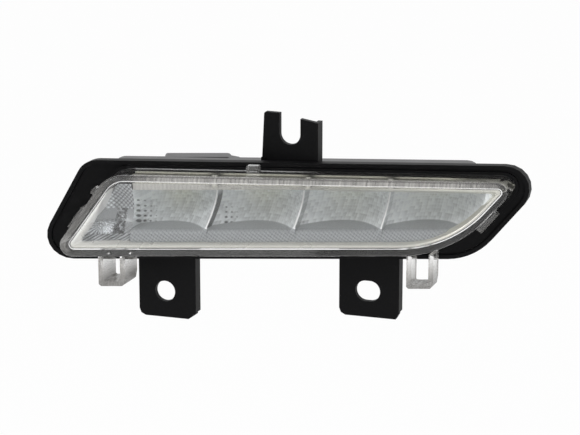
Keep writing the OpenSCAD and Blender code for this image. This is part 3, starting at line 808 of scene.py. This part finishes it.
def column(x, depth):
    """One upright column of points at x: bowl, shelf and apron, with the given depth of the bowl."""
    out = []
    top = BOWL_Z + OVER_TOP
    for j in range(BOWL_ROWS):
        z = top + (SHELF_Z - top) * j / (BOWL_ROWS - 1)
        out.append(seen(x, max(depth(x, z), FRONT_W + FRONT_LEAN * (z - SHELF_Z)), z))
    w_back = max(depth(x, SHELF_Z), FRONT_W + SHELF_LEAST)
    nose = min(NOSE, w_back - FRONT_W)
    for j in range(SHELF_ROWS):
        s = (j + 1) / SHELF_ROWS
        out.append(seen(x, w_back + (FRONT_W + nose - w_back) * s, SHELF_Z - SHELF_FALL * s))
    for j in range(NOSE_ROWS):
        turn = math.pi / 2 * (j + 1) / NOSE_ROWS
        z = SHELF_Z - SHELF_FALL - nose * (1 - math.cos(turn))
        out.append(seen(x, FRONT_W + nose * (1 - math.sin(turn)), z))
    for j in range(APRON_ROWS):
        s = (j + 1) / APRON_ROWS
        z = SHELF_Z - SHELF_FALL - nose + (nose - APRON_H) * s
        hatch = HATCH_H * math.sin(2 * math.pi * (x + z * HATCH_SLANT) / HATCH_PITCH) * min(1, 2 * s)
        out.append(seen(x, FRONT_W - APRON_BULGE * math.sin(math.pi * s) + APRON_FOOT * s + hatch, z))
    return out


def bridge(left, right, count):
    """Columns of points between two columns."""
    return [[a.lerp(b, k / (count + 1)) for a, b in zip(left, right)] for k in range(1, count + 1)]


def sheet(name, columns, places, always_above, kept, crests=()):
    """A surface through upright columns of points, kept inside the outline or above a height.

    The faces right of each crest column get a whiter finish, a painted highlight.
    """
    rows = len(columns[0])
    faces, highlighted = [], []
    for i in range(len(columns) - 1):
        x = (places[i] + places[i + 1]) / 2
        for j in range(rows - 1):
            z = columns[i][j].z / MM + HOLE[2]
            if z > always_above or inside(x, z, kept):
                a = i * rows + j
                faces.append((a, a + 1, a + rows + 1, a + rows))
                highlighted.append(i in crests and z > SHELF_Z)
    obj = mesh_object(name, [p for col in columns for p in col], faces, METAL, angle=22)
    obj.data.materials.append(RIDGE_HIGHLIGHT)
    for face, on_crest in zip(obj.data.polygons, highlighted):
        face.material_index = int(on_crest)
    obj.data.flip_normals()
    return obj


def bowls():
    """The four bowls with their shelves and aprons, and the ridges between them."""
    places, columns, crests = [RIDGES[0]], [column(RIDGES[0], chamber_depth)], []
    for i in range(BOWLS):
        first = RIDGES[i] + (CREST / 2 if i > 0 else 0)
        last = RIDGES[i + 1] - CREST / 2 if i < BOWLS - 1 else REFLECTOR_END
        if i > 0:
            crests.append(len(columns) - 1)
            edge = RIDGES[i] - CREST / 2
            columns.append(column(first, lambda x, z: bowl_depth(i - 1, edge, z)))
            places.append(first)
        start = column(first, lambda x, z: bowl_depth(i, x, z))
        walls = bridge(columns[-1], start, RIDGE_WALL if i > 0 else FIRST_WALL)
        columns += walls
        places += [first] * len(walls)
        steps = int((last - first) / X_STEP)
        for k in range(steps + 1):
            places.append(first + (last - first) * k / steps)
            columns.append(column(places[-1], lambda x, z: bowl_depth(i, x, z)))
    return sheet("reflector_bowls", columns, places, OPEN_ABOVE, outline(BOWLS_INSET), crests)


def chamber():
    """The small chamber left of the bowls."""
    steps = int((RIDGES[0] - CHAMBER_LEFT) / X_STEP)
    places = [CHAMBER_LEFT + (RIDGES[0] - CHAMBER_LEFT) * k / steps for k in range(steps + 1)]
    fall = (CHAMBER_LOW - CHAMBER_TOP) / (CHAMBER_ROWS - 1)
    heights = [CHAMBER_TOP + fall * j for j in range(CHAMBER_ROWS)]
    columns = [[seen(x, chamber_depth(x, z), z) for z in heights] for x in places]
    return sheet("reflector_chamber", columns, places, math.inf, outline(CHAMBER_INSET))


def corner_painted_shade(u, v):
    """How dark the painted shade at the facet corners makes a point, u along the face and v its height as
    seen from above.
    """
    dark = 0.0
    for u0, v0, columns, rows, size in SHADED_CORNERS:
        across, down = round((u - u0) / DOT), round((v0 - v) / DOT)
        if 0 <= across < columns and 0 <= down < rows:
            radius = size * (1 - 0.2 * across) * (0.6 + 0.4 * down / (rows - 1))
            away = math.hypot((u - u0 - across * DOT) * 0.85, (v0 - v - down * DOT) * 1.15)
            dark = max(dark, clamp((radius - away) * 3))
    return DOT_SHADE * dark


def shelf_tone(x, z):
    """A shelf and apron darker than the bowls, with a fine hatch."""
    low = fade(z, SHELF_Z, SHELF_Z - APRON_H)
    hatch = 0.09 * math.sin(2 * math.pi * (x + z * 1.3) / 1.9) + 0.06 * math.sin(5.1 * x - 2.2 * z)
    pale = SHELF_TONE - FRONT_DARKER * min(1, 5 * low) + FOOT_PALER * low ** 3 + hatch * min(1, 3 * low)
    return pale, pale * 1.01, pale * 1.02


def bowl_tone(x, w, z):
    """Bowls with painted light: paler at their upper left with a painted highlight there, small facets,
    painted shade at the facet corners and on the wall at the left.
    """
    if z < SHELF_Z + 0.02:
        return shelf_tone(x, z)
    i = max(k for k in range(BOWLS) if k == 0 or x >= RIDGES[k] + CREST / 2 - CREST_NEAR)
    past = x - RIDGES[i] - (CREST / 2 if i > 0 else 0)
    # painted light: paler towards the upper left of each bowl
    pale = BOWL_SHINE[i] * (BOWL_TONE - BOWL_FALL * past / FALL_LENGTH + BOWL_RISE * (z - RISE_FROM))
    pale += SHADE_X * math.sin(2 * math.pi * past / GRAIN) + SHADE_Z * math.sin(2 * math.pi * z / GRAIN)
    pale += DIFFER * (scatter_of(math.floor(past / GRAIN), math.floor(z / GRAIN)) - 0.5)
    # painted highlight at the bowl's upper left
    if HIGHLIGHT_FROM < past < HIGHLIGHT_TO and z > HIGHLIGHT_Z:
        pale += HIGHLIGHT
    # painted shade at the facet corners
    pale *= 1 - corner_painted_shade((x + w * SIN) / COS, z + SLOPE * w)
    # painted shade on the wall right of a ridge
    if abs(past) < CREST_NEAR and i > 0:
        edge = max(bowl_depth(i - 1, RIDGES[i] - CREST / 2, z), FRONT_W)
        deep = max(bowl_depth(i, x, z), FRONT_W)
        share = (w - edge) / max(0.1, deep - edge)
        if WALL_FROM < share < WALL_TO:
            pale *= 1 - WALL_PAINTED_SHADE[i] * fade(z, *WALL_FADE)
    off_x, off_z = (x - CENTRES[i]) / OLIVE_WIDE, (z - OLIVE_Z) / OLIVE_HIGH
    olive = OLIVE * math.exp(-off_x ** 2 - off_z ** 2)
    return tuple(min(most, tone) for most, tone in zip(TONE_MOST, (pale, pale, pale * (1 - olive))))


def chamber_tone(x, w, z):
    """Painted highlights and shade on the relief: pale pillows above, dark flecks at the lower right, and a
    plain patch, pale strokes and dark stripes.
    """
    if z > PALE_LOW:
        pale = (PALE_LEAST + PALE_MORE * pillows(x, z)) * (DULL if x >= DULL_X else 1.0)
    elif x > FLECK_X and z > STRIPES_TOP:
        fleck = scatter_of(math.floor((x + FLECK_SLANT * z) / FLECK_W), math.floor(z / FLECK_H))
        pale = FLECK_LEAST + FLECK_MORE * fleck ** 2 if x < FLECK_END else PLAIN_RIGHT
    elif z > STROKES_TOP:
        pale = PLAIN
    elif z > STRIPES_TOP:
        turn = math.atan2(z - STROKE_Z, x - STROKE_X)
        pale = PALE_LEAST + PALE_MORE * (0.5 + 0.5 * math.sin(turn * STROKES)) ** 2
        pale += BURST * math.exp(-((x - BURST_X) ** 2 + (z - BURST_Z) ** 2) / BURST_SIZE)
    else:
        pale = STRIPE_LEAST + STRIPE_MORE * (0.5 + 0.5 * math.sin((x * SLANT - z) * FINE_STRIPES))
    pale = min(CHAMBER_MOST, pale + (END_PALER if x < END_X else 0.0))
    return pale, pale, pale * 1.01


for piece, shade in ((bowls(), bowl_tone), (chamber(), chamber_tone)):
    paint(piece, "tone", shade)
    dress(piece, "reflector")

# Camera: height angle, distance, and focal length and width of the picture in pixels
VIEW_UP, RANGE, FOCAL, PICTURE, SENSOR = math.radians(14), 861 * MM, 2100, 580, 36
target = at(0, 0, 0)
back = (at(0, -math.cos(VIEW_UP) / MM, math.sin(VIEW_UP) / MM) - target).normalized()
right = Vector((0, 0, 1)).cross(back).normalized()
camera = bpy.data.objects.new("camera", bpy.data.cameras.new("camera"))
bpy.context.scene.collection.objects.link(camera)
camera.data.sensor_width = SENSOR
camera.data.lens = FOCAL / PICTURE * SENSOR
camera.data.clip_end = 20
camera.matrix_world = Matrix.Translation(target + back * RANGE) @ Matrix(
    (right, back.cross(right), back)).transposed().to_4x4()
bpy.context.scene.camera = camera

# World: its strength on the part, and the share of white in the floor that the camera sees.
# Rays from the camera, off a gloss and through clear plastic see white.
ROOM, PAPER_GLOW = 0.86, 0.92
STRAIGHT = ("Is Camera Ray", "Is Glossy Ray", "Is Transmission Ray")
world = bpy.data.worlds.new("studio")
bpy.context.scene.world = world
world.use_nodes = True
tree = world.node_tree
background = tree.nodes["Background"]
background.inputs["Color"].default_value = (1, 1, 1, 1)
strength = range_of(tree, any_ray(tree, STRAIGHT), ROOM, 1.0)
tree.links.new(strength, background.inputs["Strength"])

# Floor, in metres: its height, half its width, and its near and far edges
FLOOR_Z, FLOOR_HALF, FLOOR_NEAR, FLOOR_FAR = -0.30, 4.0, -0.7, 8.0
floor = mesh_object("floor", [(-FLOOR_HALF, FLOOR_NEAR, FLOOR_Z), (FLOOR_HALF, FLOOR_NEAR, FLOOR_Z),
                              (FLOOR_HALF, FLOOR_FAR, FLOOR_Z), (-FLOOR_HALF, FLOOR_FAR, FLOOR_Z)],
                    [(0, 1, 2, 3)], None)
paper, tree, shader = new_material("paper")
shader.inputs["Base Color"].default_value = (0.9, 0.9, 0.9, 1)
shader.inputs["Roughness"].default_value = 0.9
glow = node_of(tree, "ShaderNodeEmission")
share = range_of(tree, any_ray(tree, STRAIGHT), 0.0, PAPER_GLOW)
tree.links.new(mix_shaders(tree, share, shader.outputs["BSDF"], glow.outputs["Emission"]),
               tree.nodes["Material Output"].inputs["Surface"])
floor.data.materials.append(paper)

# Lamp: its place and aim in metres, its width and height, and its power in watts
LAMP_PLACE, LAMP_AIM = Vector((-0.5, -1.4, 1.3)), Vector((0.05, 0, 0.04))
LAMP_SIZE, LAMP_POWER = (1.0, 0.7), 8.0
light = bpy.data.lights.new("front_light", "AREA")
light.shape = "RECTANGLE"
light.size, light.size_y = LAMP_SIZE
light.energy = LAMP_POWER
lamp = bpy.data.objects.new("front_light", light)
lamp.location = LAMP_PLACE
lamp.rotation_euler = (LAMP_AIM - LAMP_PLACE).to_track_quat("-Z", "Y").to_euler()
bpy.context.scene.collection.objects.link(lamp)

bpy.context.scene.view_settings.view_transform = "Standard"
